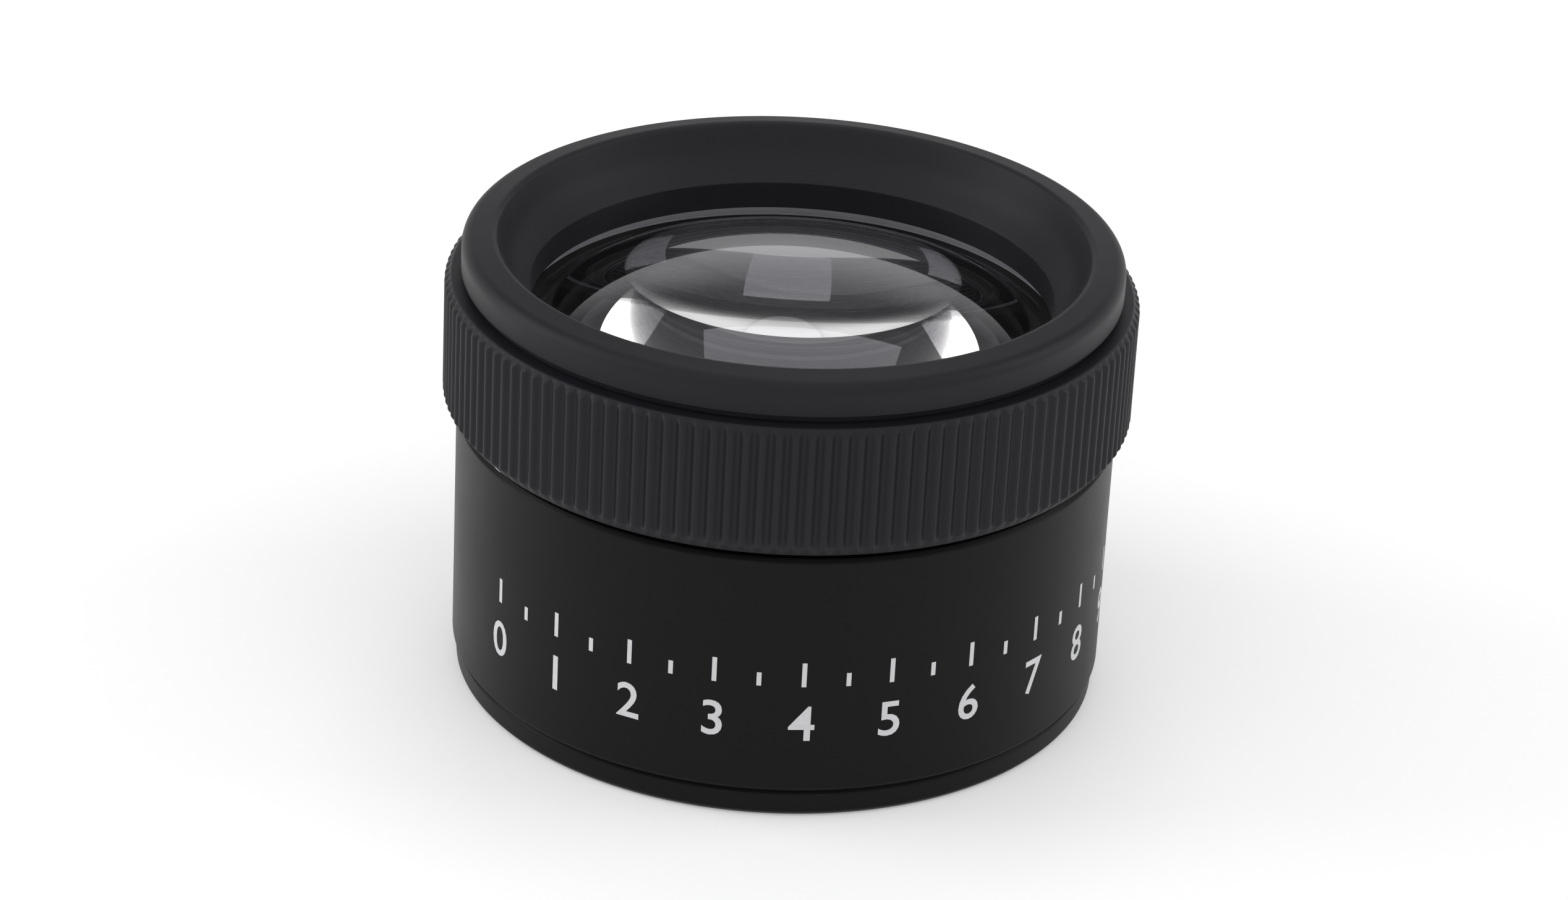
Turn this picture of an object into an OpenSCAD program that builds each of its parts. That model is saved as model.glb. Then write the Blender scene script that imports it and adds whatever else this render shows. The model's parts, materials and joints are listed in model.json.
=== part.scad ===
// Focusing loupe: a stand magnifier whose lens head turns on a thread in the barrel.
// Millimetres, +Z up. The origin is the centre of the face that it stands on.

/* [Barrel] */
// Height of the barrel between the base ring and its top edge
barrel_h = 17.7; // [16:0.1:24]
// Wall of the barrel at the focusing thread
barrel_wall = 1.45; // [1.2:0.05:1.6]
// Wall of the barrel around the base ring's spigot
spigot_wall = 1.2; // [0.9:0.05:1.4]
// Chamfer on the barrel's two outer edges
barrel_chamfer = 0.3; // [0.1:0.05:0.5]
// Height of the land inside the barrel that stops the lens tube
land_h = 2.2; // [1.4:0.1:3]
// How far the land stands in from the thread
land_step = 0.9; // [0.6:0.05:1.2]

/* [Base ring] */
// Height of the base ring below the barrel
base_h = 2; // [1.4:0.1:3]
// How far the base ring stands in from the barrel
base_step = 0.3; // [0.1:0.05:0.6]
// Wall of the base ring round its opening
foot_wall = 2.06; // [1.4:0.02:3]
// Height of the spigot that screws into the barrel
spigot_h = 3.5; // [2:0.1:4]
// Chamfer on the base ring's outer edges
base_chamfer = 0.35; // [0.15:0.05:0.5]
// Chamfer on the inner edge of the foot
foot_bevel = 0.7; // [0.3:0.05:1]

/* [Focus ring] */
// How far the focus ring stands out from the barrel
ring_overhang = 1; // [0.8:0.05:1.6]
// Height of the focus ring
ring_h = 9.4; // [8:0.1:12]
// Gap between the barrel and the focus ring when screwed down
ring_gap = 0.5; // [0.35:0.05:1.5]
// Number of grip ribs
rib_count = 140; // [90:2:160]
// Depth of the grooves between the ribs
rib_depth = 0.35; // [0.2:0.01:0.4]
// Width of a groove at the ring's outside
rib_groove_w = 0.62; // [0.4:0.01:0.66]
// Width of the flat in the bottom of a groove
rib_root_w = 0.14; // [0.08:0.01:0.2]
// Chamfer on the ring's upper edge
ring_top_chamfer = 0.5; // [0.42:0.02:0.8]
// Width of the chamfer under the ring
ring_skirt_w = 0.75; // [0.5:0.05:1]
// Height of the chamfer under the ring
ring_skirt_h = 0.9; // [0.5:0.05:1.2]

/* [Lens tube] */
// Wall of the tube between the lenses and the focusing thread
tube_wall = 2.46; // [2.2:0.02:3.4]
// How far the flange that carries the focus ring stands out from the thread
flange_step = 1; // [0.6:0.05:1.4]
// Height of the flange
flange_h = 1.2; // [0.8:0.1:2]
// How far the neck stands in from the thread
neck_step = 0.1; // [0.05:0.05:0.3]
// Depth of the step that takes the retainer's thread
retainer_step = 0.55; // [0.4:0.05:0.7]
// Lead-in chamfer at the tube's lower end
tube_chamfer = 0.4; // [0.2:0.05:0.6]

/* [Damping ring] */
// Thickness of the rubber damping ring
damper_t = 0.9; // [0.6:0.05:1]
// Height of the groove's lower wall at the tube's lower end
damper_sill = 1.6; // [1.2:0.1:3]

/* [Eyepiece rim] */
// Height of the rim above the focus ring
rim_h = 3; // [2.6:0.1:4]
// How far the rim stands in from the focus ring
rim_setback = 1.15; // [1:0.05:1.5]
// Radius on the rim's outer edge
rim_round = 0.9; // [0.5:0.05:1.1]
// Radius on the ridge between the crest and the funnel
ridge_round = 0.45; // [0.25:0.05:0.6]
// How far the crest falls from the ridge to the outer edge
crest_fall = 0.3; // [0.1:0.05:0.5]
// Run of the funnel from its lip out to the ridge
funnel_run = 2.3; // [1.8:0.05:2.6]
// Depth of the funnel from the ridge down to its lip
funnel_depth = 3.7; // [3:0.1:4.4]
// Hollow of the funnel's slope
funnel_hollow = 0.25; // [0.05:0.05:0.5]
// Height of the straight bore between the funnel's lip and the lens
lip_h = 2; // [1.2:0.1:2.6]
// Height of the neck under the rim
rim_neck_h = 0.4; // [0.2:0.05:0.6]
// Depth of the neck under the rim
rim_neck_step = 0.35; // [0.2:0.05:0.5]
// Wall of the skirt that holds the upper lens down
skirt_wall = 2.05; // [1.8:0.05:2.2]

/* [Lenses] */
// Diameter of the two lenses
lens_d = 38; // [37:0.2:38.6]
// Width of the flat land round each lens face
lens_land = 0.95; // [0.7:0.05:1.2]
// Radius of the lenses' upper faces
lens_upper_r = 56; // [46:1:80]
// Radius of the lenses' lower faces
lens_lower_r = 56; // [46:1:80]
// Thickness of the lenses at the edge
lens_edge_t = 2.6; // [1.8:0.1:3.2]
// Air between the two lenses on the axis
lens_air = 0.4; // [0.2:0.1:1.5]
// Height of the retainer under the lower lens
retainer_h = 2.4; // [1.6:0.1:3]
// Width of the spanner slots in the retainer
slot_w = 1.4; // [1:0.1:2]
// Depth of the spanner slots
slot_depth = 0.9; // [0.5:0.1:1.2]

/* [Fits] */
// Radial clearance of the focusing thread
thread_gap = 0.05; // [0.03:0.01:0.09]
// Radial clearance of the fixed threads and seats
seat_gap = 0.04; // [0.02:0.01:0.08]
// Clearance round the damping ring
damper_gap = 0.06; // [0.03:0.01:0.09]
// Gap between the lens tube and the land when screwed down
stop_gap = 0.3; // [0.2:0.05:1]
// Relief at the blind ends of the threads
relief = 0.3; // [0.2:0.05:0.5]
// Room left at the rim's shoulder, so that the skirt seats on the lens
clamp_room = 0.4; // [0.25:0.05:0.6]

/* [Hidden] */
$fn = 180;
arc_steps = 8;   // segments in a quarter of a rounded edge
cut_over = 1;    // how far a cutting solid runs past the solid that it cuts

// Height of a spherical cap of radius face_r over a circle of radius edge_r
function sag(face_r, edge_r) = face_r - sqrt(face_r * face_r - edge_r * edge_r);

// Points on an arc about [cx, cy] from angle a0 to a1
function arc(cx, cy, r, a0, a1) =
    let (n = max(2, ceil(arc_steps * abs(a1 - a0) / 90)))
    [for (i = [0:n]) [cx + r * cos(a0 + (a1 - a0) * i / n), cy + r * sin(a0 + (a1 - a0) * i / n)]];

// Points on a shallow curve from p to q that bows to its left by hollow
function bowed(p, q, hollow) =
    let (run = q - p, left = [-run[1], run[0]] / norm(run), n = 2 * arc_steps)
    [for (i = [1:n - 1]) let (t = i / n) p + run * t + left * (4 * hollow * t * (1 - t))];

// Radii, from the lenses out
lens_r = lens_d / 2;
lens_bore_r = lens_r + seat_gap;
thread_r = lens_bore_r + tube_wall;
bore_r = thread_r + thread_gap;
barrel_r = bore_r + barrel_wall;
ring_r = barrel_r + ring_overhang;
land_r = bore_r - land_step;
flange_r = thread_r + flange_step;
neck_r = thread_r - neck_step;
base_r = barrel_r - base_step;
spigot_bore_r = barrel_r - spigot_wall;
spigot_r = spigot_bore_r - seat_gap;
base_opening_r = spigot_r - foot_wall;
clear_r = lens_r - lens_land;
lip_r = clear_r + seat_gap;
skirt_r = lip_r + skirt_wall;
skirt_bore_r = skirt_r + seat_gap;
ridge_r = lip_r + funnel_run;
rim_r = ring_r - rim_setback;
retainer_bore_r = lens_bore_r + retainer_step;
retainer_r = retainer_bore_r - seat_gap;
damper_mid_r = bore_r - damper_gap - damper_t / 2;
groove_r = bore_r - damper_t - 2 * damper_gap;

// Heights, from the foot up
spigot_z = base_h + spigot_h;
land_z = spigot_z + relief;
land_top_z = land_z + land_h;
tube_z = land_top_z + stop_gap;
damper_z = tube_z + damper_sill;
damper_top_z = damper_z + damper_t + 2 * damper_gap;
barrel_z = base_h + barrel_h;
ring_z = barrel_z + ring_gap;
flange_z = ring_z + ring_gap / 2;
ring_top_z = ring_z + ring_h;
crest_z = ring_top_z + rim_h;
lip_z = crest_z - funnel_depth;
seat_z = lip_z - lip_h;
tube_top_z = ring_top_z - clamp_room;
upper_edge_z = seat_z - lens_edge_t;
spacer_h = sag(lens_lower_r, clear_r) + lens_air + sag(lens_upper_r, clear_r);
lower_seat_z = upper_edge_z - spacer_h;
lower_edge_z = lower_seat_z - lens_edge_t;
retainer_z = lower_edge_z - retainer_h;

// Ring with an outer chamfer at its lower and upper edge, each as [width, height]
module ring(r, r_in, h, low = [0, 0], high = [0, 0]) {
    rotate_extrude()
        polygon([[r_in, 0], [r - low[0], 0], [r, low[1]],
                 [r, h - high[1]], [r - high[0], h], [r_in, h]]);
}

// Round cutter from z0 up to z1
module bore(r, z0, z1) {
    translate([0, 0, z0]) cylinder(r = r, h = z1 - z0);
}

// Cap cut from a sphere, with its flat face on z = 0 and its dome up
module cap(face_r, edge_r) {
    rise = sag(face_r, edge_r);
    intersection() {
        translate([0, 0, rise - face_r]) sphere(r = face_r);
        cylinder(r = edge_r, h = 2 * rise);
    }
}

// Barrel: outer tube, with the focusing thread's bore above the land and the spigot's below it
module barrel() {
    color([0.10, 0.10, 0.105])
    difference() {
        translate([0, 0, base_h])
            ring(barrel_r, land_r, barrel_h,
                 [barrel_chamfer, barrel_chamfer], [barrel_chamfer, barrel_chamfer]);
        bore(bore_r, land_top_z, barrel_z + cut_over);
        bore(spigot_bore_r, base_h - cut_over, land_z);
    }
}

// Base ring: the foot, with a spigot that screws up into the barrel
module base_ring() {
    color([0.08, 0.08, 0.085])
    difference() {
        union() {
            ring(base_r, base_opening_r, base_h,
                 [base_chamfer, base_chamfer], [base_chamfer, base_chamfer]);
            ring(spigot_r, base_opening_r, spigot_z, high = [relief, relief]);
        }
        translate([0, 0, -cut_over])
            cylinder(r1 = base_opening_r + foot_bevel + cut_over, r2 = base_opening_r,
                     h = foot_bevel + cut_over);
    }
}

// Lens tube: threaded outside, stepped inside for the rim, the lenses and the retainer
module lens_tube() {
    color([0.13, 0.13, 0.135])
    difference() {
        union() {
            translate([0, 0, tube_z])
                ring(thread_r, clear_r, flange_z - tube_z + flange_h / 2, [tube_chamfer, tube_chamfer]);
            translate([0, 0, flange_z]) ring(flange_r, clear_r, flange_h);
            translate([0, 0, flange_z + flange_h / 2])
                ring(neck_r, clear_r, tube_top_z - flange_z - flange_h / 2);
        }
        bore(lens_bore_r, lower_edge_z, tube_top_z);
        bore(skirt_bore_r, seat_z - clamp_room, tube_top_z + cut_over);
        bore(retainer_bore_r, tube_z - cut_over, lower_edge_z + relief);
        difference() {
            bore(thread_r + cut_over, damper_z, damper_top_z);
            bore(groove_r, damper_z - cut_over, damper_top_z + cut_over);
        }
    }
}

// Damping ring: round rubber ring in the tube's groove; it rises with the tube but doesn't turn
module damping_ring() {
    color([0.05, 0.05, 0.05])
    translate([0, 0, (damper_z + damper_top_z) / 2])
        rotate_extrude() translate([damper_mid_r, 0]) circle(d = damper_t, $fn = 36);
}

// One groove between two grip ribs, at the ring's outside on +X
module rib_groove() {
    slope = (rib_groove_w - rib_root_w) / 2 / rib_depth;
    mouth = rib_root_w / 2 + slope * (rib_depth + cut_over);
    translate([ring_r - rib_depth, 0, ring_z - cut_over])
        linear_extrude(ring_h + 2 * cut_over)
            polygon([[0, -rib_root_w / 2], [rib_depth + cut_over, -mouth],
                     [rib_depth + cut_over, mouth], [0, rib_root_w / 2]]);
}

// Focus ring: ribbed grip that sits on the tube's flange, under the rim
module focus_ring() {
    color([0.115, 0.115, 0.12])
    difference() {
        translate([0, 0, ring_z])
            ring(ring_r, neck_r + seat_gap, ring_h,
                 [ring_skirt_w, ring_skirt_h], [ring_top_chamfer, ring_top_chamfer]);
        bore(flange_r + seat_gap, ring_z - cut_over, flange_z + flange_h);
        for (i = [0:rib_count - 1])
            rotate([0, 0, i * 360 / rib_count]) rib_groove();
    }
}

// Eyepiece rim: rounded crest, hollow funnel down to the lip, and a skirt that holds the lens
module eyepiece_rim() {
    wall_top_z = crest_z - crest_fall - rim_round;
    neck_z = ring_top_z + rim_neck_h;
    color([0.125, 0.125, 0.13])
    rotate_extrude()
        polygon(concat(
            [[lip_r, seat_z], [skirt_r, seat_z], [skirt_r, ring_top_z],
             [rim_r - rim_neck_step, ring_top_z], [rim_r - rim_neck_step, neck_z],
             [rim_r, neck_z]],
            arc(rim_r - rim_round, wall_top_z, rim_round, 0, 80),
            arc(ridge_r + ridge_round, crest_z - ridge_round, ridge_round, 80, 150),
            bowed([ridge_r, crest_z - ridge_round], [lip_r, lip_z], funnel_hollow),
            [[lip_r, lip_z]]));
}

// Lens: two domed faces inside flat lands, standing on the lower land at z = 0
module lens() {
    cylinder(r = lens_r, h = lens_edge_t);
    translate([0, 0, lens_edge_t]) cap(lens_upper_r, clear_r);
    mirror([0, 0, 1]) cap(lens_lower_r, clear_r);
}

module upper_lens() {
    color([0.85, 0.90, 0.93, 0.4]) translate([0, 0, upper_edge_z]) lens();
}

module lower_lens() {
    color([0.85, 0.90, 0.93, 0.4]) translate([0, 0, lower_edge_z]) lens();
}

// Spacer: thin sleeve between the lands of the two lenses
module lens_spacer() {
    color([0.09, 0.09, 0.09])
    translate([0, 0, lower_seat_z]) ring(lens_r, lip_r, spacer_h);
}

// Retainer: ring screwed up under the lower lens, with two slots for a pin spanner
module lens_retainer() {
    color([0.10, 0.10, 0.10])
    difference() {
        translate([0, 0, retainer_z])
            ring(retainer_r, lip_r, retainer_h);
        translate([0, 0, retainer_z + (slot_depth - cut_over) / 2])
            cube([2 * (retainer_r + cut_over), slot_w, slot_depth + cut_over], center = true);
    }
}

barrel();
base_ring();
damping_ring();
lens_tube();
focus_ring();
eyepiece_rim();
upper_lens();
lens_spacer();
lower_lens();
lens_retainer();
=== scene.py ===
"""Finishes a focusing stand loupe: anodised rings, ground lenses, threads, grip ribs and a dial."""

import functools
import json
import math

import bpy
import numpy as np
from mathutils import Matrix, Vector


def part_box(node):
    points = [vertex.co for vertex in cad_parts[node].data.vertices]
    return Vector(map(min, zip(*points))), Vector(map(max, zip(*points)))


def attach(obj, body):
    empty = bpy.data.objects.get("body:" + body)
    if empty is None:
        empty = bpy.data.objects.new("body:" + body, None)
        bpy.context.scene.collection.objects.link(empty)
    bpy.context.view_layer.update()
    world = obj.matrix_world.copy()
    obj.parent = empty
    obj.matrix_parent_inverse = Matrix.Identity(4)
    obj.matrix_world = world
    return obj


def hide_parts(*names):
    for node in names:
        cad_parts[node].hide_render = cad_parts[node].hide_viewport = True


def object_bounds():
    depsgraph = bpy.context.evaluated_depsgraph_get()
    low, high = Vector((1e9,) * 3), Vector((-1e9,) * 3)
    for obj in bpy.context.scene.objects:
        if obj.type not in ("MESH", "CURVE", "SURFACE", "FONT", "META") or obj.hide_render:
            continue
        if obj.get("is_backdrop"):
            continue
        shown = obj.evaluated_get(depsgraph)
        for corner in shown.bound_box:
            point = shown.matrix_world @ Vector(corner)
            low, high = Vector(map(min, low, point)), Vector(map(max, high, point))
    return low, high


bl_info = {
    "name": "Focusing Loupe Finish",
    "version": (1, 0, 0),
    "blender": (4, 5, 0),
    "location": "3D View > Sidebar > Loupe",
    "description": "Turned rings, lenses, threads, grip ribs and dial of a focusing stand loupe",
    "category": "Object",
}

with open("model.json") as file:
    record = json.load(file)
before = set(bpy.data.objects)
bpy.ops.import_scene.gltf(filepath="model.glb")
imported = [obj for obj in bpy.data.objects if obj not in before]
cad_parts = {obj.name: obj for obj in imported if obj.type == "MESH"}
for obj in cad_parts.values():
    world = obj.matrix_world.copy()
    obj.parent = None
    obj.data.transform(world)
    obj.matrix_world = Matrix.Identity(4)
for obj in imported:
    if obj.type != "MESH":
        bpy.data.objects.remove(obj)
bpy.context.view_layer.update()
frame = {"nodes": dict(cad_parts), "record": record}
MM = 0.001
TURN = 2.0 * math.pi
LEAD = frame["record"]["behaviour"]["couplings"][0]["ratio"] * TURN  # travel in one turn of the head
NEAR = 0.02 * MM  # CAD points this close have the same height or radius
HAIR = 0.005 * MM  # how far a point may be from the wall that it lies on
THREAD_STEP = 0.075 * MM  # height between two rows of a threaded wall
WIDE = 2536 / 1456  # width of the picture over its height


# ---------------------------- measuring the CAD nodes


def corners(node):
    """Radius and height of every vertex of a CAD node, as two arrays in metres."""
    mesh = frame["nodes"][node].data
    points = np.empty(len(mesh.vertices) * 3, dtype=np.float32)
    mesh.vertices.foreach_get("co", points)
    points = points.reshape(-1, 3).astype(float)
    return np.hypot(points[:, 0], points[:, 1]), points[:, 2]


def radius_at(node, height, pick):
    """Smallest or largest radius (pick is min or max) that a CAD node has at a height."""
    radii, heights = corners(node)
    return float(pick(radii[np.abs(heights - height) < NEAR]))


def heights_at(node, radius):
    """Lowest and highest point that a CAD node has at a radius."""
    radii, heights = corners(node)
    found = heights[np.abs(radii - radius) < NEAR]
    return float(found.min()), float(found.max())


def span(node):
    """Largest radius, lowest height and highest height of a CAD node."""
    low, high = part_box(node)
    return float(corners(node)[0].max()), float(low[2]), float(high[2])


# ---------------------------- outlines and surfaces


def soften(points, radii, steps=6, guard=0.06 * MM):
    """Outline with its corners rounded, and how far each point is on a rounded edge.

    A corner whose sides meet at the inner angle a gets an arc of radius r that leaves
    each side at r / tan(a / 2) from the corner. Guard points just outside each arc keep
    the flats flat under smooth shading. The points run anticlockwise and closed.
    """
    arc_share = 0.45  # the most of a side that the arc at either end takes
    guard_share, apart = 0.3, 1e-7  # a guard point's share of what is left, and its least distance
    points = np.asarray(points, dtype=float)
    radii = np.broadcast_to(np.asarray(radii, dtype=float), len(points))
    back = np.roll(points, 1, axis=0) - points
    ahead = np.roll(points, -1, axis=0) - points
    back_len = np.linalg.norm(back, axis=1)
    ahead_len = np.linalg.norm(ahead, axis=1)
    back /= back_len[:, None]
    ahead /= ahead_len[:, None]
    half = 0.5 * np.arccos(np.clip((back * ahead).sum(axis=1), -1.0, 1.0))
    room = arc_share * np.minimum(back_len, ahead_len)
    cut = np.minimum(radii / np.tan(half), room)
    radii = cut * np.tan(half)
    middle = back + ahead
    middle /= np.linalg.norm(middle, axis=1)[:, None]
    centre = points + middle * (radii / np.sin(half))[:, None]
    first = points + back * cut[:, None] - centre
    last = points + ahead * cut[:, None] - centre
    sweep = math.pi - 2.0 * half
    t = np.linspace(0.0, 1.0, steps + 1)
    from_first = np.sin(np.outer(sweep, 1.0 - t)) / np.sin(sweep)[:, None]
    from_last = np.sin(np.outer(sweep, t)) / np.sin(sweep)[:, None]
    arcs = (
        centre[:, None]
        + from_first[:, :, None] * first[:, None]
        + from_last[:, :, None] * last[:, None]
    )
    spare = np.minimum(guard, guard_share * (room - cut) + apart)[:, None]
    before = points + back * (cut[:, None] + spare)
    after = points + ahead * (cut[:, None] + spare)
    outline = np.concatenate([before[:, None], arcs, after[:, None]], axis=1)
    edge = np.zeros(outline.shape[:2])
    edge[:, 1:-1] = np.sin(np.linspace(0.0, math.pi, steps + 1)) * 0.5 + 0.5
    return outline.reshape(-1, 2), edge.ravel()


def on_cylinder(radius, wall):
    """Which of the points, given by their radius, lie on a round wall."""
    return np.abs(radius - wall) < HAIR


def divide_wall(outline, edge, radius, count):
    """Puts count more points into the outline's longest upright side at a radius."""
    following = np.roll(outline, -1, axis=0)
    on_wall = on_cylinder(outline[:, 0], radius) & on_cylinder(following[:, 0], radius)
    length = np.where(on_wall, np.abs(following[:, 1] - outline[:, 1]), 0.0)
    at = int(np.argmax(length))
    share = np.linspace(0.0, 1.0, count + 2)[1:-1, None]
    extra = outline[at] * (1.0 - share) + following[at] * share
    outline = np.insert(outline, at + 1, extra, axis=0)
    return outline, np.insert(edge, at + 1, np.zeros(count))


def lathe_points(outline, turns):
    """Points of a profile turned about Z: x = r cos(t), y = r sin(t), z = height."""
    angle = np.arange(turns) * (TURN / turns)
    shape = (len(outline), turns)
    radius = np.broadcast_to(outline[:, :1], shape)
    height = np.broadcast_to(outline[:, 1:], shape)
    return radius, height, np.broadcast_to(angle, shape)


def surface(name, radius, height, angle, edge):
    """Closed ring of quads from a grid of cylinder coordinates, wrapped in both directions."""
    rows, turns = radius.shape
    points = np.stack([radius * np.cos(angle), radius * np.sin(angle), height], axis=-1)
    index = np.arange(rows * turns).reshape(rows, turns)
    up = np.roll(index, -1, axis=0)
    quads = np.stack([index, np.roll(index, -1, axis=1), np.roll(up, -1, axis=1), up], axis=-1)
    return build(name, points.reshape(-1, 3), quads.reshape(-1, 4), worn=np.repeat(edge, turns))


def domed_surface(name, outline, turns, slots):
    """Closed solid of revolution whose outline starts and ends on the axis, with a fan at each pole."""
    inner = outline[1:-1]
    radius, height, angle = lathe_points(inner, turns)
    ring = np.stack([radius * np.cos(angle), radius * np.sin(angle), height], axis=-1)
    points = np.concatenate(
        [ring.reshape(-1, 3), [[0.0, 0.0, outline[0, 1]], [0.0, 0.0, outline[-1, 1]]]]
    )
    index = np.arange(len(inner) * turns).reshape(len(inner), turns)
    side = np.roll(index, -1, axis=1)
    quads = np.stack([index[:-1], side[:-1], side[1:], index[1:]], axis=-1).reshape(-1, 4)
    low, high = len(points) - 2, len(points) - 1
    first = np.stack([np.full(turns, low), side[0], index[0]], axis=-1)
    last = np.stack([np.full(turns, high), index[-1], side[-1]], axis=-1)
    faces = quads.tolist() + first.tolist() + last.tolist()
    at_poles = np.repeat([slots[0], slots[-2]], turns)
    return build(name, points, faces, slots=np.concatenate([np.repeat(slots[1:-2], turns), at_poles]))


def store(mesh, name, values):
    """Stores a number at each point of a mesh."""
    layer = mesh.attributes.new(name, "FLOAT", "POINT")
    layer.data.foreach_set("value", values.astype(np.float32).ravel())


def build(name, points, faces, worn=None, slots=None, smooth=True):
    """Makes a mesh object from arrays, with its worn-edge attribute and its slot per face."""
    mesh = bpy.data.meshes.new(name)
    mesh.from_pydata(points.tolist(), [], faces if isinstance(faces, list) else faces.tolist())
    mesh.polygons.foreach_set("use_smooth", np.full(len(mesh.polygons), smooth))
    if worn is not None:
        store(mesh, "worn", worn)
    if slots is not None:
        mesh.polygons.foreach_set("material_index", slots.astype(np.int32))
    mesh.update()
    piece = bpy.data.objects.new(name, mesh)
    bpy.context.scene.collection.objects.link(piece)
    return piece


def grid(name, x, y, z):
    """Open sheet through a grid of points."""
    index = np.arange(x.size).reshape(x.shape)
    quads = np.stack([index[:-1, :-1], index[:-1, 1:], index[1:, 1:], index[1:, :-1]], axis=-1)
    return build(name, np.stack([x, y, z], axis=-1).reshape(-1, 3), quads.reshape(-1, 4))


def smooth_step(share):
    """Rises smoothly from 0 to 1 as the share does: share^2 (3 - 2 share)."""
    share = np.clip(share, 0.0, 1.0)
    return share * share * (3.0 - 2.0 * share)


def thread_depth(height, angle, pitch, starts, depth):
    """Depth of a right-hand thread's groove at a height and angle.

    The groove's phase is height / pitch less starts * angle / turn. It is a rounded V:
    the depth times a smooth step of the phase's distance from the crest.
    """
    crest, flank = 0.2, 0.7
    phase = height / pitch - starts * angle / TURN
    away = np.abs(2.0 * (phase - np.floor(phase)) - 1.0)
    return depth * smooth_step((away - crest) / flank)


def fade(height, low, high, run):
    """1 between two heights, falling smoothly to 0 within a run inside each."""
    return smooth_step(np.minimum(height - low, high - height) / run)


def soft_least(first, second, blend):
    """Smooth minimum: half of a + b - sqrt((a - b)^2 + blend^2), and a quarter of the blend."""
    gap = first - second
    return 0.5 * (first + second - np.sqrt(gap * gap + blend**2)) + 0.25 * blend


def finish_piece(piece, body, node, slot, *materials):
    """Gives a piece its materials, parents it to the body that it rides on, and hides the CAD node that it
    replaces.
    """
    for material in materials:
        piece.data.materials.append(material)
    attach(piece, body)
    if node:
        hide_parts(node)
    return piece


# ---------------------------- materials


def node_of(tree, kind, place, **values):
    """Adds a shader node, sets its properties, and sets its sockets named in inputs."""
    made = tree.nodes.new(kind)
    made.location = place
    inputs = values.pop("inputs", {})
    for key, value in values.items():
        setattr(made, key, value)
    for key, value in inputs.items():
        made.inputs[key].default_value = value
    return made


def noise(tree, own, place, scale, detail, roughness=0.5):
    """Noise over the piece's own coordinates."""
    inputs = {"Scale": scale, "Detail": detail, "Roughness": roughness}
    made = node_of(tree, "ShaderNodeTexNoise", place, inputs=inputs)
    tree.links.new(own, made.inputs["Vector"])
    return made.outputs["Fac"]


def remap(tree, value, place, low, high, to_low, to_high):
    """Carries a value from one range over to another, and holds it there."""
    inputs = {"From Min": low, "From Max": high, "To Min": to_low, "To Max": to_high}
    made = node_of(tree, "ShaderNodeMapRange", place, inputs=inputs)
    tree.links.new(value, made.inputs["Value"])
    return made.outputs["Result"]


def combine(tree, operation, place, first, second):
    """Product, or sum held below 1, of an output and another output or a number."""
    made = node_of(tree, "ShaderNodeMath", place, operation=operation, use_clamp=operation == "ADD")
    tree.links.new(first, made.inputs[0])
    if isinstance(second, float):
        made.inputs[1].default_value = second
    else:
        tree.links.new(second, made.inputs[1])
    return made.outputs["Value"]


def mix(tree, factor, place, first, second):
    """Mixes two colours, each given as an output or as red, green and blue."""
    made = node_of(tree, "ShaderNodeMix", place, data_type="RGBA")
    tree.links.new(factor, made.inputs["Factor"])
    for key, colour in (("A", first), ("B", second)):
        if isinstance(colour, bpy.types.NodeSocket):
            tree.links.new(colour, made.inputs[key])
        else:
            made.inputs[key].default_value = (*colour, 1.0)
    return made.outputs["Result"]


def bump(tree, height, place, strength, distance, normal=None):
    """Bump that follows a height, on top of another bump where one is given."""
    made = node_of(tree, "ShaderNodeBump", place, inputs={"Strength": strength, "Distance": distance})
    tree.links.new(height, made.inputs["Height"])
    if normal is not None:
        tree.links.new(normal, made.inputs["Normal"])
    return made.outputs["Normal"]


def start_material(name):
    """New material, its node tree, its shader and the piece's own coordinates."""
    material = bpy.data.materials.new(name)
    material.use_nodes = True
    tree = material.node_tree
    own = node_of(tree, "ShaderNodeTexCoord", (-1400, 0)).outputs["Object"]
    return material, tree, tree.nodes["Principled BSDF"], own


def once(make):
    """Makes a material at the first call, and gives the same one back at later calls."""

    @functools.wraps(make)
    def found(name, *values, **named):
        return bpy.data.materials.get(name) or make(name, *values, **named)

    return found


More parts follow.
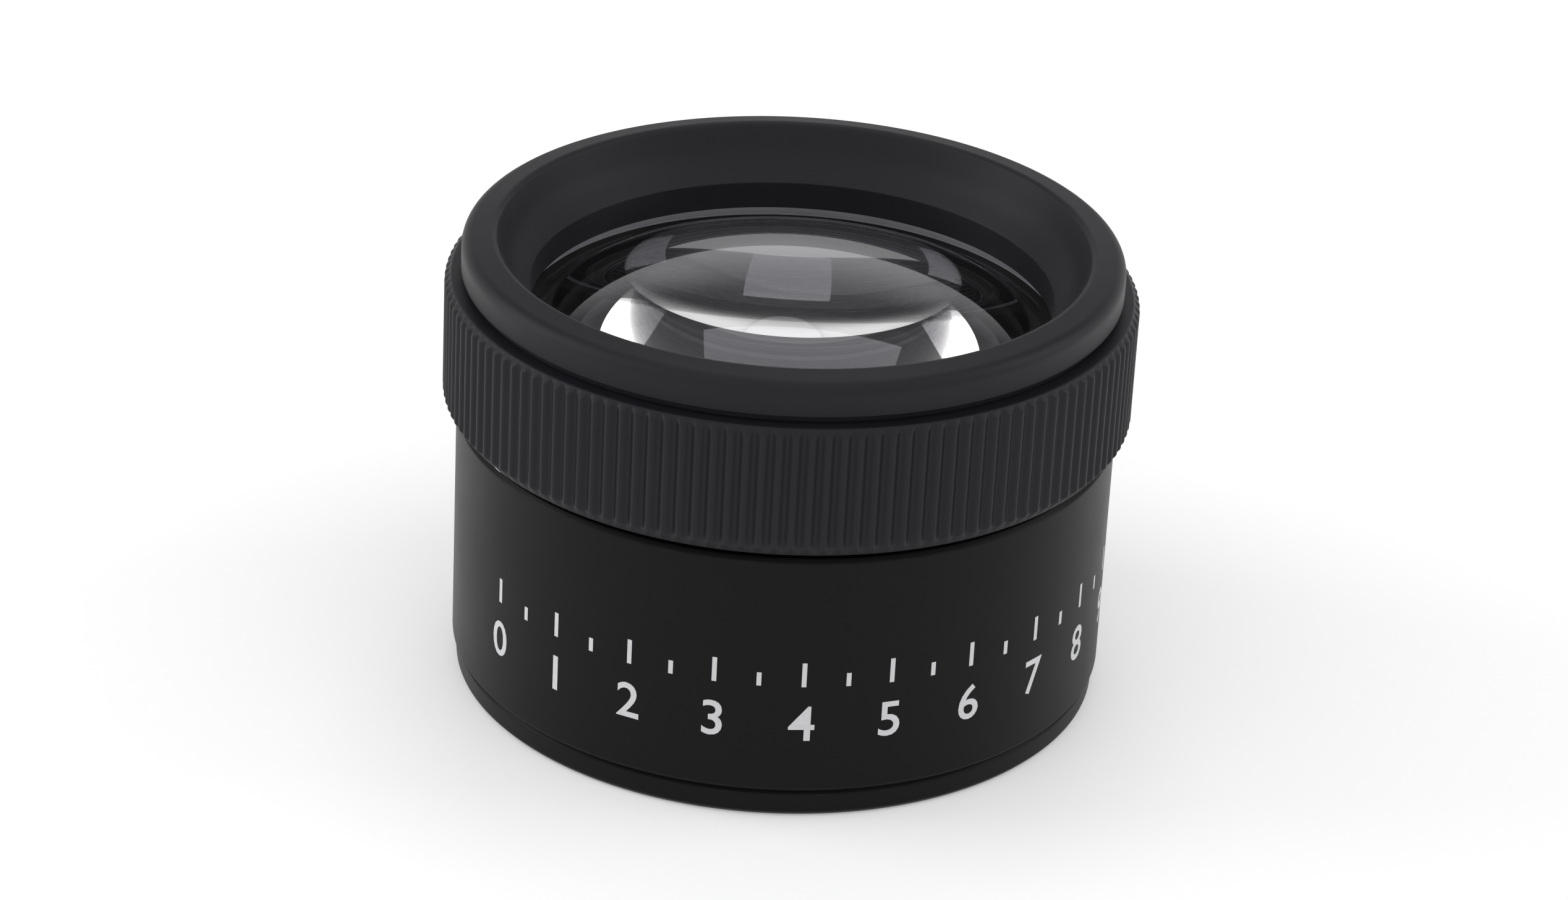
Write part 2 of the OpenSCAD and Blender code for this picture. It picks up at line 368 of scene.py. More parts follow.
@once
def anodised(name, colour, roughness, sheen, relief, turned=0.0):
    """Dyed anodising on blasted or turned aluminium: fine grain, faint blotches, paler worn edges."""
    material, tree, shader, own = start_material(name)
    shader.inputs["Specular IOR Level"].default_value = sheen
    shader.inputs["IOR"].default_value = 1.5
    dye = np.array(colour)
    grain = 0.12 * MM
    spread = 0.05  # how far the roughness strays to either side

    blotch = noise(tree, own, (-1150, 260), 55.0, 4.0, 0.6)
    rub = noise(tree, own, (-1150, -180), 420.0, 3.0, 0.7)
    worn = node_of(tree, "ShaderNodeAttribute", (-1150, 0), attribute_name="worn")
    rubbed = combine(tree, "MULTIPLY", (-900, -60), worn.outputs["Fac"], rub)
    wear = remap(tree, rubbed, (-700, -60), 0.42, 0.75, 0.0, 0.5)
    dyed = mix(tree, blotch, (-450, 260), dye * 0.86, dye * 1.16)
    tone = mix(tree, wear, (-220, 260), dyed, dye * 2.6 + 0.01)
    tree.links.new(tone, shader.inputs["Base Color"])
    gloss = remap(tree, blotch, (-450, 20), 0.3, 0.7, roughness - spread, roughness + spread)
    tree.links.new(gloss, shader.inputs["Roughness"])

    normal = None
    if turned:
        rate = 20.0  # the wave texture's own factor
        lines = node_of(
            tree,
            "ShaderNodeTexWave",
            (-900, -640),
            wave_type="RINGS",
            rings_direction="Z",
            wave_profile="SIN",
            inputs={"Scale": 1.0 / (turned * rate), "Distortion": 0.0},
        )
        tree.links.new(own, lines.inputs["Vector"])
        normal = bump(tree, lines.outputs["Fac"], (-450, -560), 0.25, 0.003 * MM)
    blast = noise(tree, own, (-900, -380), 1.0 / grain, 2.0, 0.55)
    normal = bump(tree, blast, (-220, -260), relief, 0.004 * MM, normal)
    tree.links.new(normal, shader.inputs["Normal"])
    return material


@once
def glass(name, colour, roughness, tint, clear=1.0):
    """Polished or ground optical glass, whose coating tints its reflections."""
    material, tree, shader, own = start_material(name)
    shader.inputs["Base Color"].default_value = (*colour, 1.0)
    shader.inputs["Transmission Weight"].default_value = clear
    shader.inputs["IOR"].default_value = 1.517
    shader.inputs["Specular Tint"].default_value = (*tint, 1.0)
    dust = noise(tree, own, (-650, 0), 900.0, 6.0, 0.75)
    haze = remap(tree, dust, (-400, 0), 0.66, 0.8, roughness, roughness + 0.06)
    tree.links.new(haze, shader.inputs["Roughness"])
    return material


@once
def rubber(name, colour):
    """Soft black rubber with a fine mottled skin."""
    material, tree, shader, own = start_material(name)
    shader.inputs["Base Color"].default_value = (*colour, 1.0)
    shader.inputs["Roughness"].default_value = 0.75
    skin = noise(tree, own, (-650, 0), 5000.0, 3.0)
    tree.links.new(bump(tree, skin, (-300, -100), 0.4, 0.01 * MM), shader.inputs["Normal"])
    return material


@once
def ink(name, colour):
    """Screen-printed ink: flat, slightly uneven, with a soft sheen."""
    material, tree, shader, own = start_material(name)
    shader.inputs["Roughness"].default_value = 0.5
    mottle = noise(tree, own, (-650, 0), 2500.0, 3.0)
    tone = mix(tree, mottle, (-300, 100), np.array(colour) * 0.86, colour)
    tree.links.new(tone, shader.inputs["Base Color"])
    return material


# ---------------------------- settings


def a_length(name, description, default):
    """Setting in metres."""
    return bpy.props.FloatProperty(name=name, description=description, default=default, unit="LENGTH")


def an_angle(name, description, degrees):
    """Setting that is an angle."""
    turn = math.radians(degrees)
    return bpy.props.FloatProperty(name=name, description=description, default=turn, subtype="ANGLE")


def a_share(name, description, default):
    """Setting between 0 and 1."""
    return bpy.props.FloatProperty(name=name, description=description, default=default, min=0.0, max=1.0)


def a_power(name, description, default):
    """Setting in watts."""
    return bpy.props.FloatProperty(name=name, description=description, default=default, unit="POWER")


def a_colour(name, description, default):
    """Setting that is a colour."""
    return bpy.props.FloatVectorProperty(
        name=name, description=description, subtype="COLOR", size=3, default=default
    )


def a_count(name, description, default, least, most):
    """Setting that is a whole number."""
    return bpy.props.IntProperty(name=name, description=description, default=default, min=least, max=most)


class LoupeFinishSettings(bpy.types.PropertyGroup):
    """Colours and gloss of the metal, glass and ink."""

    barrel_colour: a_colour("Barrel", "Dyed anodising of the barrel", (0.005, 0.005, 0.005))
    ring_colour: a_colour("Rings", "Dyed anodising of the grip and the rim", (0.0085, 0.008, 0.0115))
    inside_colour: a_colour("Inside", "Matte black of the inner walls", (0.006, 0.006, 0.0065))
    ink_colour: a_colour("Ink", "Printed dial", (0.84, 0.84, 0.86))
    barrel_roughness: a_share("Barrel roughness", "0 is a mirror", 0.42)
    ring_roughness: a_share("Ring roughness", "0 is a mirror", 0.5)
    barrel_sheen: a_share("Barrel sheen", "Specular level, 0.5 is plain lacquer", 0.13)
    ring_sheen: a_share("Ring sheen", "Specular level, 0.5 is plain lacquer", 0.27)
    edge_round: a_length("Edge rounding", "Radius where two faces meet", 0.1 * MM)
    turns: a_count("Facets", "Facets round a plain ring", 256, 64, 512)


class LoupeThreadSettings(bpy.types.PropertyGroup):
    """The focusing thread, whose lead comes from the coupled joints."""

    starts: a_count("Starts", "Grooves side by side", 4, 1, 8)
    depth: a_length("Depth", "Depth of the groove", 0.3 * MM)
    retainer_pitch: a_length("Retainer pitch", "Pitch of the fine thread inside the tube", 0.5 * MM)
    retainer_depth: a_length("Retainer thread depth", "Depth of the fine thread", 0.22 * MM)


class LoupeGripSettings(bpy.types.PropertyGroup):
    """The ribs of the focus ring."""

    ribs: a_count("Ribs", "Ribs round the ring", 140, 40, 200)
    depth: a_length("Depth", "Depth of the grooves", 0.35 * MM)
    blend: a_length("Run-out", "How softly a groove runs out at its ends", 0.07 * MM)


class LoupeRimSettings(bpy.types.PropertyGroup):
    """The eyepiece rim's section, above the focus ring."""

    crest_round: a_length("Outer rounding", "Radius on the crest's outer edge", 0.9 * MM)
    ridge_round: a_length("Ridge rounding", "Radius between crest and funnel", 0.45 * MM)
    crest_fall: a_length("Crest fall", "Drop from ridge to outer edge", 0.3 * MM)
    hollow: a_length("Funnel hollow", "How far the funnel bows inwards", 0.25 * MM)


class LoupeDialSettings(bpy.types.PropertyGroup):
    """The plain numbers and ticks printed round the barrel, and the dot that they are read against."""

    first: an_angle("Zero", "Angle of the zero, from the front", -52.6)
    step: an_angle("Step", "Angle between two numbers", 15.0)
    last: a_count("Last number", "Highest number", 20, 1, 40)
    figure_height: a_length("Figures", "Height of the figures", 2.7 * MM)
    figure_level: a_length("Figure level", "Height of the figures' middle", 7.4 * MM)
    tick_level: a_length("Tick level", "Height of the ticks' lower end", 10.2 * MM)
    tick_height: a_length("Long tick", "Height of a tick at a number", 1.8 * MM)
    tick_width: a_length("Tick width", "Width of every tick", 0.32 * MM)
    dot_radius: a_length("Index dot", "Radius of the dot under the grip", 0.25 * MM)
    dot_level: a_length("Dot level", "From the grip's lower edge up its chamfer", 0.34 * MM)
    ink_thickness: a_length("Ink thickness", "How far the print stands proud", 0.02 * MM)


class LoupeViewSettings(bpy.types.PropertyGroup):
    """The camera and the light."""

    distance: a_length("Distance", "From the camera to the loupe's middle", 0.333)
    elevation: an_angle("Elevation", "Camera's height above the horizon", 26.5)
    azimuth: an_angle("Azimuth", "Camera's turn to the right of the front", 2.05)
    roll: an_angle("Roll", "Lean of the loupe to the right", 3.0)
    fill: a_share("Fill", "Share of the picture's height that the loupe takes", 0.8)
    room_front: a_share("Room in front", "Light from above the front", 0.9)
    room_back: a_share("Room behind", "Light from behind", 0.12)
    box_light: a_power("Softbox", "Power of the softbox above", 0.3)
    left_light: a_power("Left light", "Power of the lamp on the left", 0.9)
    right_light: a_power("Right light", "Power of the lamp on the right", 0.6)


class LoupeSettings(bpy.types.PropertyGroup):
    """All the settings of the loupe's finish."""

    finish: bpy.props.PointerProperty(type=LoupeFinishSettings)
    thread: bpy.props.PointerProperty(type=LoupeThreadSettings)
    grip: bpy.props.PointerProperty(type=LoupeGripSettings)
    rim: bpy.props.PointerProperty(type=LoupeRimSettings)
    dial: bpy.props.PointerProperty(type=LoupeDialSettings)
    view: bpy.props.PointerProperty(type=LoupeViewSettings)


def barrel_finish(settings):
    """Satin anodising of the barrel and the foot."""
    s = settings.finish
    return anodised("Satin black barrel", s.barrel_colour, s.barrel_roughness, s.barrel_sheen, relief=0.35)


def ring_finish(settings):
    """Finely blasted anodising of the grip and the rim."""
    s = settings.finish
    return anodised("Blasted black ring", s.ring_colour, s.ring_roughness, s.ring_sheen, relief=0.5)


def inside_finish(settings):
    """Matte turned black of the walls that light passes."""
    return anodised(
        "Matte black inside",
        settings.finish.inside_colour,
        roughness=0.6,
        sheen=0.3,
        relief=0.6,
        turned=0.1 * MM,
    )


# ---------------------------- the pieces


class LOUPE_OT_barrel(bpy.types.Operator):
    """Barrel: rounded outer edges, the female focusing thread in its bore and the land below it"""

    bl_idname = "loupe.barrel"
    bl_label = "Barrel"

    def execute(self, context):
        s = context.scene.loupe
        outer, low, high = span("barrel")
        bore = radius_at("barrel", high, min)
        spigot = radius_at("barrel", low, min)
        land = float(corners("barrel")[0].min())
        land_low, land_high = heights_at("barrel", land)
        chamfer = outer - radius_at("barrel", high, max)
        tiny = s.finish.edge_round
        outline, edge = soften(
            [
                (spigot, low), (outer - chamfer, low), (outer, low + chamfer),
                (outer, high - chamfer), (outer - chamfer, high), (bore, high),
                (bore, land_high), (land, land_high), (land, land_low), (spigot, land_low),
            ],
            [tiny, tiny, 2 * tiny, 2 * tiny, tiny, tiny, tiny, tiny, tiny, tiny],
        )
        outline, edge = divide_wall(outline, edge, bore, int((high - land_high) / THREAD_STEP))
        radius, height, angle = lathe_points(outline, s.finish.turns)
        starts = s.thread.starts
        pitch = LEAD / starts
        groove = thread_depth(height - pitch / 2, angle, pitch, starts, s.thread.depth)
        above_land, below_top, run_out = 0.6 * MM, 0.1 * MM, 0.5 * MM
        groove *= fade(height, land_high + above_land, high - below_top, run_out)
        piece = surface("barrel_shell", radius + on_cylinder(radius, bore) * groove, height, angle, edge)
        finish_piece(piece, "barrel_body", "barrel", "black_anodised", barrel_finish(s))
        return {"FINISHED"}


class LOUPE_OT_foot(bpy.types.Operator):
    """Base ring: rounded foot below the groove, turned light-trap lines inside"""

    bl_idname = "loupe.foot"
    bl_label = "Base ring"

    def execute(self, context):
        s = context.scene.loupe
        outer, low, high = span("base_ring")
        opening = float(corners("base_ring")[0].min())
        base_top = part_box("barrel")[0][2]
        radii, heights = corners("base_ring")
        spigot = float(radii[heights > base_top + 0.1 * MM].max())
        chamfer = outer - radius_at("base_ring", low, max)
        bevel = radius_at("base_ring", low, min) - opening
        tiny = s.finish.edge_round
        lead_in = 0.3 * MM
        outline, edge = soften(
            [
                (opening + bevel, low), (outer - chamfer, low), (outer, low + chamfer),
                (outer, base_top - chamfer), (outer - chamfer, base_top), (spigot, base_top),
                (spigot, high - lead_in), (spigot - lead_in, high), (opening, high),
                (opening, low + bevel),
            ],
            [2 * tiny, 2 * tiny, 3 * tiny, 2 * tiny, tiny, 0.3 * tiny, tiny, tiny, tiny, 2 * tiny],
        )
        rows, pitch, depth, plain = 110, 0.45 * MM, 0.12 * MM, 0.2 * MM
        outline, edge = divide_wall(outline, edge, opening, rows)
        radius, height, angle = lathe_points(outline, s.finish.turns)
        line = depth * (0.5 - 0.5 * np.cos(TURN * height / pitch))
        line *= fade(height, low + bevel + plain / 2, high - plain, plain)
        radius = radius + on_cylinder(radius, opening) * line
        piece = surface("base_ring_shell", radius, height, angle, edge)
        finish_piece(piece, "barrel_body", "base_ring", "black_anodised", barrel_finish(s))
        return {"FINISHED"}


class LOUPE_OT_tube(bpy.types.Operator):
    """Lens tube: male focusing thread, damping groove, flange, and the fine thread inside its foot"""

    bl_idname = "loupe.tube"
    bl_label = "Lens tube"

    def execute(self, context):
        s = context.scene.loupe
        radii, heights = corners("lens_tube")
        flange, low, high = span("lens_tube")
        flange_low, flange_high = heights_at("lens_tube", flange)
        neck = radius_at("lens_tube", high, max)
        seat_bore = radius_at("lens_tube", high, min)
        lens_bore = float(radii.min())
        lens_low, lens_high = heights_at("lens_tube", lens_bore)
        screw_bore = radius_at("lens_tube", low, min)
        thread = float(radii[heights < flange_low - 0.05 * MM].max())
        chamfer = thread - radius_at("lens_tube", low, max)
        damper_low, damper_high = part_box("damping_ring")[0][2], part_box("damping_ring")[1][2]
        in_groove = (heights > low + 0.8 * MM) & (heights < damper_high + 0.5 * MM)
        in_groove &= radii > screw_bore + 0.1 * MM
        groove_floor = float(radii[in_groove].min())
        clearance = 0.06 * MM
        damper_low -= clearance
        damper_high += clearance
        tiny = 0.6 * s.finish.edge_round
        outline, edge = soften(
            [
                (screw_bore, low), (thread - chamfer, low), (thread, low + chamfer),
                (thread, damper_low), (groove_floor, damper_low), (groove_floor, damper_high),
                (thread, damper_high), (thread, flange_low), (flange, flange_low),
                (flange, flange_high), (neck, flange_high), (neck, high), (seat_bore, high),
                (seat_bore, lens_high), (lens_bore, lens_high), (lens_bore, lens_low),
                (screw_bore, lens_low),
            ],
            tiny,
        )
        fine_rows, plain = 120, 0.3 * MM
        outline, edge = divide_wall(outline, edge, thread, int((flange_low - damper_high) / THREAD_STEP))
        outline, edge = divide_wall(outline, edge, screw_bore, fine_rows)
        radius, height, angle = lathe_points(outline, s.finish.turns)
        on_thread = on_cylinder(radius, thread) & (height > damper_high)
        starts = s.thread.starts
        groove = thread_depth(height, angle, LEAD / starts, starts, s.thread.depth)
        groove *= fade(height, damper_high + 0.2 * MM, flange_low - plain, 0.4 * MM)
        fine = thread_depth(height, angle, s.thread.retainer_pitch, 1, s.thread.retainer_depth)
        fine *= fade(height, low + plain, lens_low - plain, plain)
        radius = radius - on_thread * groove + on_cylinder(radius, screw_bore) * fine
        piece = surface("threaded_tube", radius, height, angle, edge)
        finish_piece(piece, "lens_head", "lens_tube", "black_anodised", inside_finish(s))
        return {"FINISHED"}


class LOUPE_OT_grip(bpy.types.Operator):
    """Focus ring: rounded upright ribs that run out in the chamfers above and below them"""

    bl_idname = "loupe.grip"
    bl_label = "Focus ring"

    def execute(self, context):
        s = context.scene.loupe
        outer, low, high = span("focus_ring")
        neck = radius_at("focus_ring", high, min)
        flange_bore = radius_at("focus_ring", low, min)
        flange_top = heights_at("focus_ring", flange_bore)[1]
        skirt = outer - radius_at("focus_ring", low, max)
        top = outer - radius_at("focus_ring", high, max)
        skirt_height = heights_at("focus_ring", outer)[0] - low
        tiny = s.finish.edge_round
        outline, edge = soften(
            [
                (flange_bore, low), (outer - skirt, low), (outer, low + skirt_height),
                (outer, high - top), (outer - top, high), (neck, high),
                (neck, flange_top), (flange_bore, flange_top),
            ],
            [tiny, 1.5 * tiny, 3 * tiny, 4 * tiny, 2 * tiny, tiny, 0.3 * tiny, 0.3 * tiny],
            steps=4,
        )
        rows, per_rib = 6, 10
        outline, edge = divide_wall(outline, edge, outer, rows)
        radius, height, angle = lathe_points(outline, s.grip.ribs * per_rib)
        across = 0.5 + 0.5 * np.cos(angle * s.grip.ribs)
        groove = outer - s.grip.depth * across
        outside = radius > outer - s.grip.depth * 1.6
        cut = np.minimum(radius, soft_least(radius, groove, s.grip.blend))
        radius = np.where(outside, cut, radius)
        piece = surface("ribbed_grip", radius, height, angle, edge * 0.6)
        finish_piece(piece, "lens_head", "focus_ring", "black_anodised", ring_finish(s))
        return {"FINISHED"}


class LOUPE_OT_rim(bpy.types.Operator):
    """Eyepiece rim: neck, rounded crest, hollow funnel and the skirt that holds the upper lens"""

    bl_idname = "loupe.rim"
    bl_label = "Eyepiece rim"

    def execute(self, context):
        s = context.scene.loupe
        outer, low, high = span("eyepiece_rim")
        ring_top = float(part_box("focus_ring")[1][2])
        lip = float(corners("eyepiece_rim")[0].min())
        lip_high = heights_at("eyepiece_rim", lip)[1]
        skirt = radius_at("eyepiece_rim", low, max)
        neck = radius_at("eyepiece_rim", ring_top, max)
        neck_top = heights_at("eyepiece_rim", outer)[0]
        ridge = self.ridge_radius(s, high)
        fall = s.rim.crest_fall
        share, lift, funnel_round = 0.45, 0.03 * MM, 6 * MM
        bow = (
            lip + share * (ridge - lip) + s.rim.hollow,
            lip_high + share * (high - lip_high) - s.rim.hollow,
        )
        tiny = s.finish.edge_round
        outline, edge = soften(
            [
                (lip, low), (skirt, low), (skirt, ring_top), (neck, ring_top), (neck, neck_top),
                (outer, neck_top), (outer, high - fall), (ridge, high + lift), bow, (lip, lip_high),
            ],
            [
                tiny, tiny, 0.3 * tiny, 0.3 * tiny, tiny, 1.5 * tiny,
                s.rim.crest_round, s.rim.ridge_round, funnel_round, 1.5 * tiny,
            ],
            steps=10,
        )
        radius, height, angle = lathe_points(outline, s.finish.turns)
        piece = surface("rim_shell", radius, height, angle, edge * 0.5)
        finish_piece(piece, "lens_head", "eyepiece_rim", "black_anodised", ring_finish(s))
        return {"FINISHED"}

    @staticmethod
    def ridge_radius(s, high):
        """Radius of the ridge: where the highest points of the rim are."""
        radii, heights = corners("eyepiece_rim")
        return float(radii[heights > high - 0.03 * MM].min()) - 0.3 * s.rim.ridge_round


def dome(node):
    """A lens's rim radius, dome radius and four heights, from its CAD node."""
    radii, heights = corners(node)
    rim = float(radii.max())
    land_low, land_high = heights_at(node, rim)
    clear = float(radii[heights > land_high + 0.005 * MM].max())
    return rim, clear, float(heights.min()), land_low, land_high, float(heights.max())


def cap_line(clear, land, top, count):
    """Profile of a spherical cap from its edge to its pole.

    The sphere's radius is (clear^2 + rise^2) / (2 rise), and points are spaced evenly in angle.
    """
    rise = abs(top - land)
    sphere = (clear**2 + rise**2) / (2.0 * rise)
    angle = np.linspace(math.asin(clear / sphere), 0.0, count)
    sign = 1.0 if top > land else -1.0
    return np.stack([sphere * np.sin(angle), land + sign * (sphere * np.cos(angle) - sphere + rise)], axis=1)


class LOUPE_OT_lenses(bpy.types.Operator):
    """Lenses: true spherical faces, flat lands and a ground edge"""

    bl_idname = "loupe.lenses"
    bl_label = "Lenses"

    def execute(self, context):
        turns = context.scene.loupe.finish.turns
        steps, bevel, hair = 40, 0.15 * MM, 0.004 * MM
        for node in ("upper_lens", "lower_lens"):
            rim, clear, low, land_low, land_high, high = dome(node)
            under = cap_line(clear, land_low, low, steps)[::-1]
            over = cap_line(clear, land_high, high, steps)
            edge = np.array(
                [
                    (clear + hair, land_low), (rim - bevel - hair, land_low), (rim - bevel, land_low),
                    (rim, land_low + bevel), (rim, land_low + bevel + hair),
                    (rim, land_high - bevel - hair), (rim, land_high - bevel),
                    (rim - bevel, land_high), (rim - bevel - hair, land_high),
                    (clear + hair, land_high),
                ]
            )
            outline = np.concatenate([under, edge, over])
            ground = np.zeros(len(outline))
            first = len(under)
            ground[first + 1 : first + len(edge) - 2] = 1
            piece = domed_surface(node + "_glass", outline, turns, ground)
            finish_piece(
                piece,
                "lens_head",
                node,
                "lens_glass",
                glass("Polished lens", (0.99, 0.985, 1.0), 0.0, (0.9, 0.88, 1.0)),
                glass("Ground lens edge", (0.86, 0.87, 0.92), 0.6, (1.0, 1.0, 1.0), 0.4),
            )
        return {"FINISHED"}


class LOUPE_OT_spacer(bpy.types.Operator):
    """Lens spacer: sleeve with light-trap ridges on its inner wall"""

    bl_idname = "loupe.spacer"
    bl_label = "Lens spacer"

    def execute(self, context):
        s = context.scene.loupe
        outer, low, high = span("lens_spacer")
        inner = float(corners("lens_spacer")[0].min())
        tiny = 0.5 * s.finish.edge_round
        outline, edge = soften([(inner, low), (outer, low), (outer, high), (inner, high)], tiny)
        rows, pitch, depth, plain = 150, 0.5 * MM, 0.2 * MM, 0.2 * MM
        outline, edge = divide_wall(outline, edge, inner, rows)
        radius, height, angle = lathe_points(outline, s.finish.turns)
        ridge = thread_depth(height, 0.0, pitch, 1, depth)
        ridge *= fade(height, low + plain, high - plain, plain)
        radius = radius + on_cylinder(radius, inner) * ridge
        piece = surface("light_trap_spacer", radius, height, angle, edge)
        finish_piece(piece, "lens_head", "lens_spacer", "black_anodised", inside_finish(s))
        return {"FINISHED"}


class LOUPE_OT_plain_nodes(bpy.types.Operator):
    """Retainer and damping ring: the CAD solids with their own finishes"""

    bl_idname = "loupe.plain_nodes"
    bl_label = "Retainer and damping ring"

    def execute(self, context):
        s = context.scene.loupe
        black = (0.02, 0.02, 0.02)
        finishes = {"lens_retainer": inside_finish(s), "damping_ring": rubber("Damping rubber", black)}
        for node, material in finishes.items():
            mesh = frame["nodes"][node].data
            mesh.materials.clear()
            mesh.materials.append(material)
        return {"FINISHED"}


def wrapped(name, points, faces, radius, thickness):
    """Flat marks laid round a barrel: x becomes the angle x / radius from the front, y the height.

    Each flat face gets a copy one thickness further out, and walls between the two.
    """
    angle = points[:, 0] / radius - TURN / 4
    inner = np.stack([radius * np.cos(angle), radius * np.sin(angle), points[:, 1]], axis=1)
    reach = radius + thickness
    outer = np.stack([reach * np.cos(angle), reach * np.sin(angle), points[:, 1]], axis=1)
    count = len(points)
    shell = [[i + count for i in face] for face in faces] + [list(face[::-1]) for face in faces]
    sides = {}
    for face in faces:
        for a, b in zip(face, [*face[1:], face[0]]):
            sides[(a, b)] = True
    walls = [[a, b, b + count, a + count] for a, b in sides if (b, a) not in sides]
    return build(name, np.concatenate([inner, outer]), shell + walls, smooth=False)


def figure_mesh(text, height):
    """Vertices and faces of a line of figures, centred on the origin, from Blender's own font."""
    figure_share = 0.73  # height of the font's figures over its size
    bolder = 0.012  # how far the strokes grow, over the figures' height
    curve = bpy.data.curves.new("figures", "FONT")
    curve.body = text
    curve.size = height / figure_share
    curve.align_x = "CENTER"
    curve.resolution_u = 4
    curve.offset = height * bolder
    holder = bpy.data.objects.new("figures", curve)
    bpy.context.scene.collection.objects.link(holder)
    bpy.context.view_layer.update()
    mesh = holder.to_mesh()
    points = np.array([v.co[:2] for v in mesh.vertices]).reshape(-1, 2)
    faces = [list(p.vertices) for p in mesh.polygons]
    up = [p.normal.z > 0 for p in mesh.polygons]
    faces = [face if good else face[::-1] for face, good in zip(faces, up)]
    holder.to_mesh_clear()
    bpy.data.objects.remove(holder)
    points[:, 1] -= (points[:, 1].min() + points[:, 1].max()) / 2
    return points, faces


class LOUPE_OT_dial(bpy.types.Operator):
    """Dial: plain numbers and ticks round the barrel, and the index dot under the grip"""

    bl_idname = "loupe.dial"
    bl_label = "Dial"

    def execute(self, context):
        s = context.scene.loupe
        d = s.dial
        radius = span("barrel")[0]
        points, faces = [], []
        count = 0

        def lay(marks, shapes, across, level):
            nonlocal count
            points.append(marks + (across, level))
            faces.extend([[i + count for i in face] for face in shapes])
            count += len(marks)

        for number in range(d.last + 1):
            across = (d.first + number * d.step) * radius
            lay(*figure_mesh(str(number), d.figure_height), across, d.figure_level)
        side, short = d.tick_width / 2, 0.55
        for half in range(2 * d.last + 1):
            across = (d.first + half * d.step / 2) * radius
            tall = d.tick_height * (short if half % 2 else 1.0)
            bar = np.array([(-side, 0), (side, 0), (side, tall), (-side, tall)])
            lay(bar, [[0, 1, 2, 3]], across, d.tick_level)
        piece = wrapped("dial_print", np.concatenate(points), faces, radius, d.ink_thickness)
        white = ink("White ink", s.finish.ink_colour)
        finish_piece(piece, "barrel_body", None, None, white)
        finish_piece(self.index_dot(d), "lens_head", None, None, white)
        return {"FINISHED"}

    @staticmethod
    def index_dot(d):
        """Thin disc on the chamfer under the grip, at the angle of the dial's zero."""
        outer, low, _ = span("focus_ring")
        start = np.array([radius_at("focus_ring", low, max), low])
        end = np.array([outer, heights_at("focus_ring", outer)[0]])
        along = (end - start) / np.linalg.norm(end - start)
        away = np.array([along[1], -along[0]])
        turn = np.linspace(0.0, TURN, 24, endpoint=False)
        angle = d.first - TURN / 4
        layers = []
        for offset in (0.0, d.ink_thickness):
            line = start + along * (d.dot_level + d.dot_radius * np.sin(turn))[:, None] + away * offset
            side = d.dot_radius * np.cos(turn)
            layers.append(
                np.stack(
                    [
                        line[:, 0] * math.cos(angle) - side * math.sin(angle),
                        line[:, 0] * math.sin(angle) + side * math.cos(angle),
                        line[:, 1],
                    ],
                    axis=-1,
                )
            )
        count = len(turn)
        walls = [[i, (i + 1) % count, (i + 1) % count + count, i + count] for i in range(count)]
        faces = walls + [list(range(count, 2 * count)), list(range(count))[::-1]]
        return build("index_dot", np.concatenate(layers), faces, smooth=False)


# ---------------------------- the stage


# name, place, size and the setting that holds the power
LAMPS = (
    ("Softbox", (0.0, 0.275, 0.49), (0.22, 0.3), "box_light"),
    ("Left light", (-0.5, 0.02, 0.22), (0.3, 0.4), "left_light"),
    ("Right light", (0.5, 0.08, 0.26), (0.3, 0.4), "right_light"),
)


